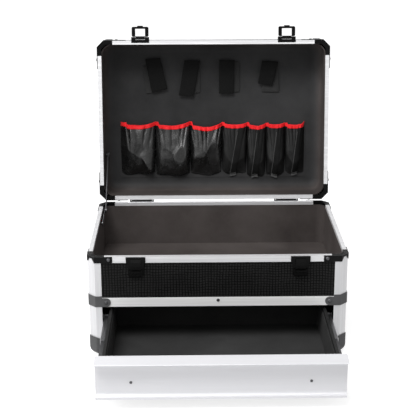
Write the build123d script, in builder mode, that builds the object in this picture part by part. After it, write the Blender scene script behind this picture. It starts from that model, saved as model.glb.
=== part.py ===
"""Aluminium carry case with a tool-pocket lid and one drawer, posed open as photographed.

Millimetres, +Z up. The origin is on the floor, under the middle of the base; the front is -Y.
"""

from build123d import *
import math
import os

os.makedirs("parts", exist_ok=True)

# Case body
case_width = 455.0
case_depth = 315.0
base_height = 190.0
lid_height = 86.0
corner_cut = 12.5
rim_gap = 1.0
lid_open = 98.0

# Wall: aluminium profile, laminated board, lining
profile_wall = 1.2
board = 5.0
lining = 1.5
rim_width = 7.5
rim_flange = 11.4
rim_inner_flange = 6.0
rim_corner_reach = 29.5
post_reach = 23.5
board_end = 15.0

# Rails round the base and the lid's top edge
bottom_rail_low = 4.0
bottom_rail_high = 20.0
bottom_web = 12.0
mid_rail_low = 96.5
mid_rail = 16.5
mid_rail_web = 12.5
edge_rail = 16.0

# Corner fittings
fitting_wall = 1.3
base_tab_reach = 43.5
lid_tab_reach = 55.0
rivet_reach = 37.0
rib_groove = 1.6
rib_groove_depth = 0.6
mid_fitting_over = 3.2
mid_tab_reach = 31.0
mid_tab_radius = 8.0
ball_reach = 25.0
ball_wall = 1.5
ball_low = 1.5
ball_round = 15.0
ball_edge_round = 5.0
ball_front_high = 33.0
ball_peak_high = 40.0
rivet_radius = 3.4
rivet_height = 1.4
rivet_taper = 38.0
head_sides = 10

# Feet
foot_radius = 11.0
foot_sides = 24
foot_inset_x = 49.5
foot_inset_y = 45.5

# Linings
compartment_corner = 18.0
lid_lining_round = 20.0

# Drawer and its telescopic slides
drawer_travel = 214.0
drawer_pull = 14.0
front_gap_side = 1.5
drawer_gap_low = 2.0
drawer_gap_high = 3.5
front_plate = 2.0
front_lip_reach = 20.0
front_lip_back = 8.0
front_lip_fall = 3.5
front_lip_wall = 1.8
front_cove = 12.0
front_toe_reach = 6.0
front_toe_wall = 4.0
front_toe_rise = 9.0
drawer_board = 5.0
drawer_box_drop = 0.5
drawer_side_drop = 5.0
drawer_rear_drop = 13.0
drawer_floor = 4.0
drawer_rear_gap = 13.2
slide_space = 12.7
slide_rear_gap = 12.5
slide_height = 36.0
slide_wall = 1.2
slide_middle_height = 54.0
slide_clearance = 0.3
slide_front_gap = 22.5
drawer_screw_inset = 57.5
drawer_screw_z = 50.0
drawer_screw_radius = 2.4
plug_radius = 3.0
plug_drop = 5.5

# Hinges
hinge_inset = 83.0
hinge_length = 48.0
hinge_offset = 2.7
hinge_barrel = 2.5
hinge_pin = 1.3
pin_clearance = 0.06
hinge_leaf = 1.2
hinge_tip = 4.0
hinge_head = 1.5
hinge_leaf_reach = 26.0
hinge_leaf_gap = 2.2

# Latches: a sprung catch on the base and a ring hasp on the lid
latch_inset = 84.0
latch_plate_top = 34.0
latch_plate_bottom = 26.0
latch_plate_height = 36.0
latch_plate_drop = 1.0
latch_plate_wall = 2.0
latch_rib = 2.6
latch_rib_out = 3.2
catch_width = 18.0
catch_clearance = 0.3
catch_top_drop = 4.5
catch_hook_drop = 13.0
catch_nose_drop = 16.0
catch_notch_drop = 23.5
catch_foot_drop = 30.0
catch_out = 6.2
catch_wall = 0.9
hasp_offset = 4.6
hasp_back = 2.6
hasp_barrel = 2.4
hasp_pin = 1.2
hasp_width = 33.0
hasp_length = 22.2
hasp_neck = 17.5
hasp_start = 2.8
hasp_wall = 2.2
hasp_window_width = 19.0
hasp_window_low = 3.9
hasp_window_high = 18.2
hasp_tab_width = 11.0
hasp_tab = 2.0
hasp_plate_width = 35.0
hasp_plate_wall = 1.6
hasp_plate_reach = 22.0
hasp_lip = 0.6
hasp_lip_reach = 4.3

# Lid stay: two flat links on the left wall
stay_wall_gap = 2.7
stay_link_wall = 1.5
stay_link_width = 11.0
stay_gap = 0.3
stay_lower_back = 92.5
stay_lower_drop = 14.0
stay_upper_along = 84.0
stay_upper_deep = 59.0
stay_lower_length = 63.3
stay_upper_length = 134.4
stay_pin = 2.5
stay_head = 4.5
stay_head_wall = 1.0
stay_pin_in = 1.2

# Carry handle on the lid's outer face
handle_span = 118.0
handle_drop = 42.0
handle_bar = 15.0
handle_thick = 12.0
handle_cut = 10.0
handle_inner_cut = 6.0
handle_eye = 7.0
handle_pin = 3.0
handle_stand = 10.0
handle_bracket_width = 12.0
handle_bracket_length = 34.0
handle_bracket_wall = 2.0
handle_eye_gap = 0.3

# Tool pockets and webbing loops on the lid's inner face
pocket_left_gap = 30.8
pocket_right_gap = 32.8
large_pocket_shares = (71, 71, 65)
small_pocket_shares = (51, 39, 39, 40)
pocket_gap = 1.6
pocket_foot = 37.5
pocket_top = 145.5
pocket_cloth = 1.2
pocket_backing = 1.0
large_pocket_bulge = 24.0
large_pocket_mouth = 15.0
large_pocket_fold = 3.0
large_pocket_sag = 18.0
small_pocket_bulge = 13.0
small_pocket_mouth = 10.0
small_pocket_fold = 1.5
small_pocket_sag = 3.0
binding_height = 10.0
binding_wall = 1.4
binding_clear = 0.3
binding_over = 0.6
loop_width = 29.0
loop_length = 68.0
loop_space = 3.4
loop_wall = 1.5
loop_drop = 74.5
loop_places = ((-116.0, -10.0), (-48.0, 9.0), (29.0, 5.0), (112.0, 8.0))

# Sizes that follow
half_width = case_width / 2
half_depth = case_depth / 2
hinge_x = half_width - hinge_inset
latch_x = half_width - latch_inset
foot_x = half_width - foot_inset_x
foot_y = half_depth - foot_inset_y
wall = profile_wall + board
lined_wall = wall + lining
opening_half = half_width - post_reach
slide_length = case_depth - slide_front_gap - slide_rear_gap
drawer_length = case_depth - drawer_pull - front_lip_back - wall - drawer_rear_gap
mid_rail_high = mid_rail_low + mid_rail
front_low = bottom_rail_high + drawer_gap_low
front_high = mid_rail_low - drawer_gap_high
floor_low = mid_rail_low + profile_wall
floor_high = floor_low + board
bottom_board_low = bottom_rail_low + profile_wall
bottom_board_high = bottom_board_low + board
board_top = base_height - profile_wall

# The hinge axis, and the lid's mouth plane at its open angle
axis_y = half_depth + hinge_offset
axis_z = base_height + rim_gap / 2
lid_turn = math.radians(lid_open)

# The pockets' row and heights in the lid's own frame
pocket_left = lined_wall + pocket_left_gap - half_width
pocket_right = half_width - lined_wall - pocket_right_gap
pocket_unit = (pocket_right - pocket_left) / sum(large_pocket_shares + small_pocket_shares)
large_pocket_widths = [share * pocket_unit for share in large_pocket_shares]
small_pocket_widths = [share * pocket_unit for share in small_pocket_shares]
pocket_low = pocket_foot - half_depth
pocket_high = pocket_top - half_depth
loop_y = half_depth - loop_drop


def opened(y, z):
    """Where a point of the closed lid stands when the lid is open."""
    dy = y - axis_y
    dz = z - axis_z
    turned_y = dy * math.cos(lid_turn) + dz * math.sin(lid_turn)
    turned_z = dz * math.cos(lid_turn) - dy * math.sin(lid_turn)
    return (axis_y + turned_y, axis_z + turned_z)


mouth_normal = (0, -math.sin(lid_turn), -math.cos(lid_turn))
base_mouth = Plane.XY.offset(base_height)
lid_mouth = Plane(
    origin=(0, *opened(0, base_height + rim_gap)), x_dir=(1, 0, 0), z_dir=mouth_normal
)


def outline(inset, cut=corner_cut):
    """The case's plan outline, drawn in by inset, with its corners cut at 45 degrees."""
    x = half_width - inset
    y = half_depth - inset
    leg = cut - inset * (2 - math.sqrt(2))
    return [
        (x - leg, y),
        (x, y - leg),
        (x, leg - y),
        (x - leg, -y),
        (leg - x, -y),
        (-x, leg - y),
        (-x, y - leg),
        (leg - x, y),
    ]


def plate(plane, inset, cut=corner_cut):
    """A face of the case's outline on plane."""
    with BuildSketch(plane) as face:
        Polygon(*outline(inset, cut), align=None)
    return face.sketch


def ring(plane, outer, inner, reach):
    """The strip between two insets along the four sides, ending reach short of each corner."""
    with BuildSketch(plane) as strip:
        Polygon(*outline(outer), align=None)
        Polygon(*outline(inner), align=None, mode=Mode.SUBTRACT)
        with GridLocations(case_width, case_depth, 2, 2):
            Rectangle(2 * reach, 2 * reach, mode=Mode.SUBTRACT)
    return strip.sketch


def corner(plane, outer, inner, reach):
    """The strip between two insets round the corner at -X, -Y, out to reach along each side."""
    with BuildSketch(plane) as strip:
        Polygon(*outline(outer), align=None)
        Polygon(*outline(inner), align=None, mode=Mode.SUBTRACT)
        with Locations((-half_width, -half_depth)):
            Rectangle(2 * reach, 2 * reach, mode=Mode.INTERSECT)
    return strip.sketch


def spread(plane):
    """Repeats the piece at the -X, -Y corner at the other three corners of plane."""
    mirror(about=Plane(plane.origin, x_dir=plane.x_dir, z_dir=plane.y_dir))
    mirror(about=Plane(plane.origin, x_dir=plane.y_dir, z_dir=plane.x_dir))


def block(x, y, z):
    """A box between two values along each axis."""
    with Locations(((x[0] + x[1]) / 2, (y[0] + y[1]) / 2, (z[0] + z[1]) / 2)):
        Box(x[1] - x[0], y[1] - y[0], z[1] - z[0])


def finish(part, name):
    part.label = name
    export_step(part, f"parts/{name}.step")


def rim_rails(mouth, name):
    """Four channel rails over the walls' edges, between the rim's corner fittings."""
    with BuildPart() as rails:
        extrude(ring(mouth, 0, profile_wall, rim_corner_reach), amount=-rim_flange)
        extrude(ring(mouth, 0, rim_width, rim_corner_reach), amount=-profile_wall)
        inner = ring(mouth, rim_width - profile_wall, rim_width, rim_corner_reach)
        extrude(inner, amount=-rim_inner_flange)
    finish(rails.part, name)


def rim_fittings(mouth, tab_reach, name):
    """Moulded rim corners: a capped channel, two riveted tabs and two grooves along the cut corner."""
    diagonal_x = half_width - corner_cut
    with BuildPart() as fittings:
        extrude(corner(mouth, -fitting_wall, rim_width, rim_corner_reach), amount=-profile_wall)
        inner = corner(mouth, rim_width - profile_wall, rim_width, rim_corner_reach)
        extrude(inner, amount=-rim_inner_flange)
        extrude(corner(mouth, -fitting_wall, 0, tab_reach), amount=-rim_flange)
        low = mouth.offset(-rim_flange)
        with BuildSketch(low) as relief:
            with Locations((-diagonal_x, -half_depth + corner_cut)):
                Rectangle(2 * corner_cut + 2, 2 * corner_cut + 2)
            with Locations((-half_width + corner_cut / 2, -half_depth + corner_cut / 2)):
                Rectangle(3 * corner_cut, corner_cut, rotation=-45, mode=Mode.INTERSECT)
        extrude(relief.sketch, amount=rim_flange - 4, taper=28, mode=Mode.SUBTRACT)
        for inset in (profile_wall, profile_wall + 2 * rib_groove):
            groove = corner(mouth, inset, inset + rib_groove, rim_corner_reach - rib_groove)
            extrude(groove, amount=-rib_groove_depth, mode=Mode.SUBTRACT)
        spread(mouth)
    finish(fittings.part, name)


def lining_tray(mouth, depth, corner_round, edge_round, name):
    """A moulded lining: square outside against the boards, its floor's edge rounded inside."""
    top = mouth.offset(-rim_inner_flange)
    height = depth - rim_inner_flange
    with BuildPart() as tray:
        with BuildSketch(top):
            RectangleRounded(case_width - 2 * wall, case_depth - 2 * wall, corner_round)
        extrude(amount=-height)
        with BuildPart(mode=Mode.PRIVATE) as space:
            with BuildSketch(top):
                inner_round = corner_round - lining
                RectangleRounded(
                    case_width - 2 * lined_wall, case_depth - 2 * lined_wall, inner_round
                )
            extrude(amount=lining - height)
            if edge_round:
                deep = mouth.offset(lining - depth)
                far = [e for e in space.edges() if abs(deep.to_local_coords(e.center()).Z) < 0.01]
                fillet(far, radius=min(edge_round, inner_round - 0.5))
        add(space.part, mode=Mode.SUBTRACT)
    finish(tray.part, name)


def corner_posts(mouth, low, high, name):
    """Folded corner profiles with two flat legs and a cut face, each with a core between boards."""
    with BuildPart() as posts:
        start = mouth.offset(-high)
        extrude(corner(start, 0, profile_wall, post_reach), amount=high - low)
        extrude(corner(start, 0, wall, board_end), amount=high - low)
        spread(mouth)
    finish(posts.part, name)


def ball_block(start, height, piece):
    """A solid round-edged corner block standing on start, at the -X, -Y corner."""
    with BuildSketch(start) as foot:
        Polygon(*outline(-ball_wall), align=None)
        with Locations((-half_width, -half_depth)):
            Rectangle(2 * ball_reach, 2 * ball_reach, mode=Mode.INTERSECT)
    extrude(foot.sketch, amount=height)

    def outer_edges(low, high):
        found = []
        for e in piece.edges():
            spot = start.to_local_coords(e.center())
            near = spot.X < ball_reach - half_width - 1 and spot.Y < ball_reach - half_depth - 1
            if near and low < spot.Z < high:
                found.append(e)
        return found

    fillet(outer_edges(-0.01, 0.01), radius=ball_round)
    fillet(outer_edges(ball_round, height - 1), radius=ball_edge_round)


def head(radius):
    """A small round head's outline, with few enough sides to stay light."""
    RegularPolygon(radius, side_count=head_sides)


def rivets(places, name):
    """Low conical rivet heads, each given as its foot's position and outward direction."""
    with BuildPart() as heads:
        for point, out in places:
            with BuildSketch(Plane(origin=point, z_dir=out)) as foot:
                head(rivet_radius)
            extrude(foot.sketch, amount=rivet_height, taper=rivet_taper)
    finish(heads.part, name)


# Base boards
with BuildPart() as bottom_panel:
    extrude(plate(Plane.XY.offset(bottom_board_low), profile_wall, ball_reach), amount=board)
finish(bottom_panel.part, "bottom_panel")

outer_y = half_depth - profile_wall
inner_y = half_depth - wall
outer_x = half_width - profile_wall
inner_x = half_width - wall
end_x = half_width - board_end
end_y = half_depth - board_end

with BuildPart() as front_panel:
    block((-end_x, end_x), (-outer_y, -inner_y), (floor_low, board_top))
finish(front_panel.part, "front_panel")

with BuildPart() as rear_panel:
    block((-end_x, end_x), (inner_y, outer_y), (bottom_board_high, board_top))
finish(rear_panel.part, "rear_panel")

for side, name in ((-1, "left_panel"), (1, "right_panel")):
    with BuildPart() as side_panel:
        across = sorted((side * inner_x, side * outer_x))
        block(across, (-end_y, end_y), (bottom_board_high, board_top))
    finish(side_panel.part, name)

with BuildPart() as compartment_floor:
    extrude(plate(Plane.XY.offset(floor_low), wall), amount=board)
finish(compartment_floor.part, "compartment_floor")

compartment_depth = base_height - floor_high
lining_tray(base_mouth, compartment_depth, compartment_corner, 0, "compartment_lining")

# Base profiles
rim_rails(base_mouth, "base_rim_rails")
corner_posts(base_mouth, profile_wall, base_height - bottom_rail_high, "corner_posts")

with BuildPart() as bottom_rails:
    low_plane = Plane.XY.offset(bottom_rail_low)
    extrude(ring(low_plane, 0, profile_wall, ball_reach), amount=bottom_rail_high - bottom_rail_low)
    extrude(ring(low_plane, 0, bottom_web, ball_reach), amount=profile_wall)
finish(bottom_rails.part, "bottom_rails")

with BuildPart() as mid_rails:
    mid_plane = Plane.XY.offset(mid_rail_low)
    extrude(ring(mid_plane, 0, profile_wall, post_reach), amount=mid_rail_high - mid_rail_low)
    web_y = (-half_depth, -half_depth + mid_rail_web)
    block((-opening_half, opening_half), web_y, (mid_rail_low, floor_low))
finish(mid_rails.part, "mid_rails")

# Corner fittings of the base
rim_fittings(base_mouth, base_tab_reach, "base_rim_corners")

mid_tab_z = (mid_rail_low + mid_rail_high) / 2
with BuildPart() as mid_corners:
    tall = mid_rail + mid_fitting_over
    extrude(corner(mid_plane, -fitting_wall, 0, post_reach), amount=tall)
    tab_plane = Plane.XY.offset(mid_tab_z - mid_tab_radius)
    extrude(corner(tab_plane, -fitting_wall, 0, mid_tab_reach), amount=2 * mid_tab_radius)
    with BuildSketch(Plane.XZ.offset(half_depth)):
        with Locations((mid_tab_reach - half_width, mid_tab_z)):
            Circle(mid_tab_radius)
    extrude(amount=fitting_wall)
    with BuildSketch(Plane.YZ.offset(-half_width)):
        with Locations((mid_tab_reach - half_depth, mid_tab_z)):
            Circle(mid_tab_radius)
    extrude(amount=-fitting_wall)
    spread(Plane.XY)
finish(mid_corners.part, "mid_corners")

with BuildPart() as bottom_corners:
    ball_block(Plane.XY.offset(ball_low), ball_peak_high + ball_wall, bottom_corners)
    slope_run = (ball_reach - corner_cut / 2 + ball_wall) / math.sqrt(2)
    slope = math.atan((ball_peak_high - ball_front_high) / slope_run)
    slope_in = math.sin(slope) / math.sqrt(2)
    slope_plane = Plane(
        origin=(
            -half_width + ball_reach / 2,
            -half_depth + ball_reach / 2,
            ball_front_high,
        ),
        x_dir=(1, -1, 0),
        z_dir=(slope_in, slope_in, math.cos(slope)),
    )
    split(bisect_by=slope_plane, keep=Keep.BOTTOM)
    extrude(
        plate(Plane.XY.offset(bottom_rail_high), 0), amount=base_height, mode=Mode.SUBTRACT
    )
    extrude(
        plate(Plane.XY.offset(bottom_board_high), profile_wall),
        amount=base_height,
        mode=Mode.SUBTRACT,
    )
    board_cut = plate(Plane.XY.offset(0), profile_wall, ball_reach)
    extrude(board_cut, amount=bottom_board_high, mode=Mode.SUBTRACT)
    spread(Plane.XY)
finish(bottom_corners.part, "bottom_corners")

rivet_places = []
for sx in (-1, 1):
    for sy in (-1, 1):
        for height in (base_height - rim_flange / 2, mid_tab_z):
            reach = rivet_reach if height > mid_tab_z else mid_tab_reach
            front_point = (sx * (half_width - reach), sy * (half_depth + fitting_wall), height)
            side_point = (sx * (half_width + fitting_wall), sy * (half_depth - reach), height)
            rivet_places.append((front_point, (0, sy, 0)))
            rivet_places.append((side_point, (sx, 0, 0)))
rivets(rivet_places, "base_rivets")

with BuildPart() as feet:
    with BuildSketch(Plane.XY):
        with GridLocations(2 * foot_x, 2 * foot_y, 2, 2):
            RegularPolygon(foot_radius, side_count=foot_sides)
        RegularPolygon(foot_radius, side_count=foot_sides)
    extrude(amount=bottom_board_low, taper=-8)
finish(feet.part, "feet")

with BuildPart() as mid_rail_plug:
    with BuildSketch(Plane.XZ.offset(half_depth)):
        with Locations((0, mid_rail_high - plug_drop)):
            head(plug_radius)
    extrude(amount=1, taper=30)
finish(mid_rail_plug.part, "mid_rail_plug")

# Drawer slides: outer member on a batten, middle member, inner member on the drawer
slide_x = opening_half
drawer_half = slide_x - slide_space
slide_front = -half_depth + slide_front_gap
slide_rear = slide_front + slide_length


def slide_member(side, web_x, tip_x, height, start, name):
    """A long channel: its web stands at web_x and its two flanges reach to tip_x."""
    inward = math.copysign(slide_wall, tip_x - web_x)
    low = slide_middle_height - height / 2
    high = slide_middle_height + height / 2
    span = (start, start + slide_length)
    with BuildPart() as member:
        block(sorted((side * web_x, side * (web_x + inward))), span, (low, high))
        block(sorted((side * web_x, side * tip_x)), span, (low, low + slide_wall))
        block(sorted((side * web_x, side * tip_x)), span, (high - slide_wall, high))
        along = member.edges().filter_by(Axis.Y)
        shell = [e for e in along if abs(abs(e.center().X) - web_x) < 0.01]
        chamfer(shell, length=slide_wall / 2)
    finish(member.part, name)


with BuildPart() as runner_battens:
    for side in (-1, 1):
        high = slide_middle_height + slide_height / 2
        low = slide_middle_height - slide_height / 2
        block(sorted((side * slide_x, side * inner_x)), (slide_front, slide_rear - 12), (low, high))
finish(runner_battens.part, "runner_battens")

middle_height = slide_height - 2 * (slide_wall + slide_clearance)
inner_height = middle_height - 2 * (slide_wall + slide_clearance)
middle_web = slide_x - slide_wall - slide_clearance
for side, hand in ((-1, "left"), (1, "right")):
    outer_tip = slide_x - 0.72 * slide_space
    slide_member(side, slide_x, outer_tip, slide_height, slide_front, f"slide_outer_{hand}")
    middle_tip = drawer_half + slide_wall + slide_clearance
    slide_member(
        side,
        middle_web,
        middle_tip,
        middle_height,
        slide_front - drawer_travel / 2,
        f"slide_middle_{hand}",
    )
    slide_member(
        side,
        drawer_half,
        middle_web - slide_wall - slide_clearance,
        inner_height,
        slide_front - drawer_travel,
        f"slide_inner_{hand}",
    )

# Drawer, drawn at its pulled-out place
face_y = -half_depth + drawer_pull - drawer_travel
back_y = face_y + front_lip_back
front_half = opening_half - front_gap_side
tip_y = face_y - front_lip_reach
toe_y = face_y - front_toe_reach
lip_low = front_high - front_lip_fall - front_lip_wall

with BuildPart() as drawer_front:
    with BuildSketch(Plane.YZ.offset(-front_half)):
        with BuildLine():
            Polyline(
                (back_y, front_high - front_lip_wall),
                (back_y, front_high),
                (tip_y + 1, lip_low + front_lip_wall),
            )
            ThreePointArc(
                (tip_y + 1, lip_low + front_lip_wall),
                (tip_y, lip_low + front_lip_wall / 2),
                (tip_y + 1, lip_low),
            )
            Line((tip_y + 1, lip_low), (face_y - front_cove, lip_low + 0.6))
            cove = 1 - math.sqrt(0.5)
            ThreePointArc(
                (face_y - front_cove, lip_low + 0.6),
                (face_y - front_cove * cove, lip_low + 0.6 - front_cove * cove),
                (face_y, lip_low + 0.6 - front_cove),
            )
            Polyline(
                (face_y, lip_low + 0.6 - front_cove),
                (face_y, front_low + front_toe_wall + front_toe_rise),
            )
            ThreePointArc(
                (face_y, front_low + front_toe_wall + front_toe_rise),
                (
                    face_y - front_toe_reach * cove,
                    front_low + front_toe_wall + front_toe_rise * cove,
                ),
                (toe_y, front_low + front_toe_wall),
            )
            Polyline(
                (toe_y, front_low + front_toe_wall),
                (toe_y, front_low),
                (back_y, front_low),
                (back_y, front_low + front_plate),
                (face_y + front_plate, front_low + front_plate),
                (face_y + front_plate, front_high - front_lip_wall - 0.4),
                (back_y, front_high - front_lip_wall),
            )
        make_face()
    extrude(amount=2 * front_half)
finish(drawer_front.part, "drawer_front")

with BuildPart() as drawer_screws:
    with BuildSketch(Plane.XZ.offset(-face_y)):
        with Locations((0, drawer_screw_z)):
            with GridLocations(2 * (front_half - drawer_screw_inset), 1, 2, 1):
                head(drawer_screw_radius)
    extrude(amount=0.8)
finish(drawer_screws.part, "drawer_screws")

box_front = back_y
box_rear = box_front + drawer_length
box_inner = drawer_half - drawer_board
drawer_box_low = front_low - drawer_box_drop
drawer_side_high = front_high - drawer_side_drop
drawer_rear_high = front_high - drawer_rear_drop
for side, hand in ((-1, "left"), (1, "right")):
    with BuildPart() as drawer_side:
        across = sorted((side * box_inner, side * drawer_half))
        block(across, (box_front, box_rear), (drawer_box_low, drawer_side_high))
    finish(drawer_side.part, f"drawer_side_{hand}")

with BuildPart() as drawer_ends:
    inner_span = (-box_inner, box_inner)
    front_board = (box_front, box_front + drawer_board)
    block(inner_span, front_board, (drawer_box_low, drawer_side_high))
    block(inner_span, (box_rear - drawer_board, box_rear), (drawer_box_low, drawer_rear_high))
    pad = (face_y + front_plate, box_front)
    pad_z = (front_low + front_plate, front_high - front_lip_wall - 2)
    block((-front_half + 4, front_half - 4), pad, pad_z)
finish(drawer_ends.part, "drawer_ends")

with BuildPart() as drawer_bottom:
    bottom_span = (box_front + drawer_board, box_rear - drawer_board)
    block(inner_span, bottom_span, (drawer_box_low, drawer_box_low + drawer_floor))
finish(drawer_bottom.part, "drawer_bottom")

with BuildPart() as drawer_lining:
    floor_top = drawer_box_low + drawer_floor
    block(inner_span, bottom_span, (floor_top, drawer_rear_high))
    hollow_x = box_inner - lining
    with Locations((0, (bottom_span[0] + bottom_span[1]) / 2, (floor_top + drawer_rear_high) / 2 + lining)):
        Box(
            2 * hollow_x,
            bottom_span[1] - bottom_span[0] - 2 * lining,
            drawer_rear_high - floor_top,
            mode=Mode.SUBTRACT,
        )
finish(drawer_lining.part, "drawer_lining")

# Lid boards
lid_board_low = lid_height - wall
lid_plate_plane = lid_mouth.offset(profile_wall - lid_height)
with BuildPart() as lid_top_panel:
    extrude(plate(lid_plate_plane, profile_wall, ball_reach), amount=board)
finish(lid_top_panel.part, "lid_top_panel")


def lid_block(x, along, deep):
    """A box in the lid's own frame: across, away from the hinge, and in from the mouth."""
    with BuildSketch(lid_mouth.offset(-deep[1])) as base_face:
        with Locations(((x[0] + x[1]) / 2, (along[0] + along[1]) / 2)):
            Rectangle(x[1] - x[0], along[1] - along[0])
    extrude(base_face.sketch, amount=deep[1] - deep[0])


lid_deep = (profile_wall, lid_board_low)
with BuildPart() as lid_end_panels:
    for side in (-1, 1):
        lid_block((-end_x, end_x), sorted((side * inner_y, side * outer_y)), lid_deep)
finish(lid_end_panels.part, "lid_end_panels")

with BuildPart() as lid_side_panels:
    for side in (-1, 1):
        lid_block(sorted((side * inner_x, side * outer_x)), (-end_y, end_y), lid_deep)
finish(lid_side_panels.part, "lid_side_panels")

lining_tray(lid_mouth, lid_board_low, lid_lining_round + 4, lid_lining_round, "lid_lining")

# Lid profiles
rim_rails(lid_mouth, "lid_rim_rails")
corner_posts(lid_mouth, profile_wall, lid_height - edge_rail, "lid_corner_posts")
lid_top_plane = lid_mouth.offset(-lid_height)
with BuildPart() as lid_edge_rails:
    extrude(ring(lid_top_plane, 0, profile_wall, ball_reach), amount=edge_rail)
    extrude(ring(lid_top_plane, 0, edge_rail, ball_reach), amount=profile_wall)
finish(lid_edge_rails.part, "lid_edge_rails")

rim_fittings(lid_mouth, lid_tab_reach, "lid_rim_corners")

with BuildPart() as lid_top_corners:
    ball_block(lid_mouth.offset(-lid_height - ball_wall), ball_front_high, lid_top_corners)
    rail_space = plate(lid_mouth.offset(edge_rail - lid_height), 0)
    extrude(rail_space, amount=lid_height, mode=Mode.SUBTRACT)
    wall_space = plate(lid_mouth.offset(-lid_board_low), profile_wall)
    extrude(wall_space, amount=lid_height, mode=Mode.SUBTRACT)
    board_space = plate(lid_plate_plane, profile_wall, ball_reach)
    extrude(board_space, amount=board + 1, mode=Mode.SUBTRACT)
    spread(lid_mouth)
finish(lid_top_corners.part, "lid_top_corners")


def lid_point(x, along, deep):
    """A point given in the lid's own frame."""
    return tuple(lid_mouth.from_local_coords((x, along, -deep)))


def lid_direction(x, along, deep):
    """A direction given in the lid's own frame."""
    start = Vector(*lid_point(0, 0, 0))
    return tuple(Vector(*lid_point(x, along, deep)) - start)


lid_rivet_places = []
for sx in (-1, 1):
    for sy in (-1, 1):
        end_point = lid_point(
            sx * (half_width - rivet_reach), sy * (half_depth + fitting_wall), rim_flange / 2
        )
        side_point = lid_point(
            sx * (half_width + fitting_wall), sy * (half_depth - rivet_reach), rim_flange / 2
        )
        lid_rivet_places.append((end_point, lid_direction(0, sy, 0)))
        lid_rivet_places.append((side_point, (sx, 0, 0)))
rivets(lid_rivet_places, "lid_rivets")

# Hinges: two knuckles and the headed pin on the base, one knuckle on the lid
knuckle = (hinge_length - 2 * hinge_tip) / 4


def rod(x0, x1, radius, y, z):
    with BuildSketch(Plane.YZ.offset(x0)) as end:
        with Locations((y, z)):
            Circle(radius)
    extrude(end.sketch, amount=x1 - x0)


with BuildPart() as hinge_base_leaves:
    for x in (-hinge_x, hinge_x):
        ends = (x - hinge_length / 2, x + hinge_length / 2)
        leaf_y = (half_depth, half_depth + hinge_leaf)
        block(ends, leaf_y, (base_height - hinge_leaf_reach, base_height - hinge_leaf_gap))
        for start in (ends[0] + hinge_tip, ends[1] - hinge_tip - knuckle):
            rod(start, start + knuckle, hinge_barrel, axis_y, axis_z)
            block((start, start + knuckle), leaf_y, (base_height - hinge_leaf_gap, axis_z))
        rod(ends[0] + hinge_head, ends[1] - hinge_head, hinge_pin, axis_y, axis_z)
        for start in (ends[0], ends[1] - hinge_head):
            with BuildSketch(Plane.YZ.offset(start)) as pin_head:
                with Locations((axis_y, axis_z)):
                    head(hinge_barrel)
            extrude(pin_head.sketch, amount=hinge_head)
finish(hinge_base_leaves.part, "hinge_base_leaves")

with BuildPart() as hinge_lid_leaves:
    for x in (-hinge_x, hinge_x):
        ends = (x - hinge_length / 2, x + hinge_length / 2)
        inner_end = hinge_tip + knuckle + pin_clearance
        middle = (ends[0] + inner_end, ends[1] - inner_end)
        hinge_side = (-half_depth - hinge_leaf, -half_depth)
        lid_block(ends, hinge_side, (hinge_leaf_gap, hinge_leaf_reach))
        lid_block(middle, hinge_side, (-rim_gap / 2, hinge_leaf_gap))
        rod(middle[0], middle[1], hinge_barrel, axis_y, axis_z)
        with BuildSketch(Plane.YZ.offset(ends[0])) as bore:
            with Locations((axis_y, axis_z)):
                Circle(hinge_pin + pin_clearance)
        extrude(bore.sketch, amount=hinge_length, mode=Mode.SUBTRACT)
finish(hinge_lid_leaves.part, "hinge_lid_leaves")

# Base latches: a riveted housing with a sliding catch
latch_back = -half_depth
latch_top = base_height - latch_plate_drop
catch_high = base_height - catch_top_drop
catch_hook_low = base_height - catch_hook_drop
catch_nose_low = base_height - catch_nose_drop
catch_notch_low = base_height - catch_notch_drop
catch_low = base_height - catch_foot_drop
for side, hand in ((-1, "left"), (1, "right")):
    centre = side * latch_x
    with BuildPart() as latch_housing:
        with BuildSketch(Plane.XZ.offset(half_depth)):
            with BuildLine():
                half_top = latch_plate_top / 2
                half_bottom = latch_plate_bottom / 2
                shoulder_z = latch_top - 9
                Polyline(
                    (centre - half_top, latch_top),
                    (centre + half_top, latch_top),
                    (centre + half_top, shoulder_z),
                    (centre + half_bottom + 1.5, shoulder_z - 3),
                    (centre + half_bottom, latch_top - latch_plate_height),
                    (centre - half_bottom, latch_top - latch_plate_height),
                    (centre - half_bottom - 1.5, shoulder_z - 3),
                    (centre - half_top, shoulder_z),
                    close=True,
                )
            make_face()
            fillet(vertices().group_by(Axis.Y)[0], radius=4)
        extrude(amount=latch_plate_wall)
        rib_x = catch_width / 2 + catch_clearance
        rib_y = (-half_depth - latch_plate_wall - latch_rib_out, -half_depth - latch_plate_wall)
        rib_z = (latch_top - latch_plate_height + 2, catch_notch_low)
        for rib_side in (-1, 1):
            edges = (centre + rib_side * rib_x, centre + rib_side * (rib_x + latch_rib))
            block(sorted(edges), rib_y, rib_z)
        foot_z = (rib_z[0], catch_low - catch_clearance)
        block((centre - rib_x, centre + rib_x), rib_y, foot_z)
    finish(latch_housing.part, f"latch_housing_{hand}")

    with BuildPart() as catch:
        back = -half_depth - latch_plate_wall - catch_clearance / 2
        out = -half_depth - latch_plate_wall - catch_out
        bar = -half_depth - hasp_offset - hasp_wall / 2 - 1.0
        with BuildSketch(Plane.YZ.offset(centre - catch_width / 2)):
            with BuildLine():
                Polyline(
                    (back, catch_low),
                    (back, catch_high),
                    (back - 1, catch_high),
                    (out, catch_high - 4),
                    (out, catch_nose_low),
                    (bar, catch_nose_low + 1),
                    (bar, catch_hook_low),
                    (back - catch_wall, catch_hook_low),
                    (back - catch_wall, catch_notch_low),
                    (out + 1.5, catch_notch_low - 2),
                    (out + 1.5, catch_low + 1),
                    (out + 2.5, catch_low),
                    (back, catch_low),
                )
            make_face()
        extrude(amount=catch_width)
    finish(catch.part, f"latch_catch_{hand}")

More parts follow.
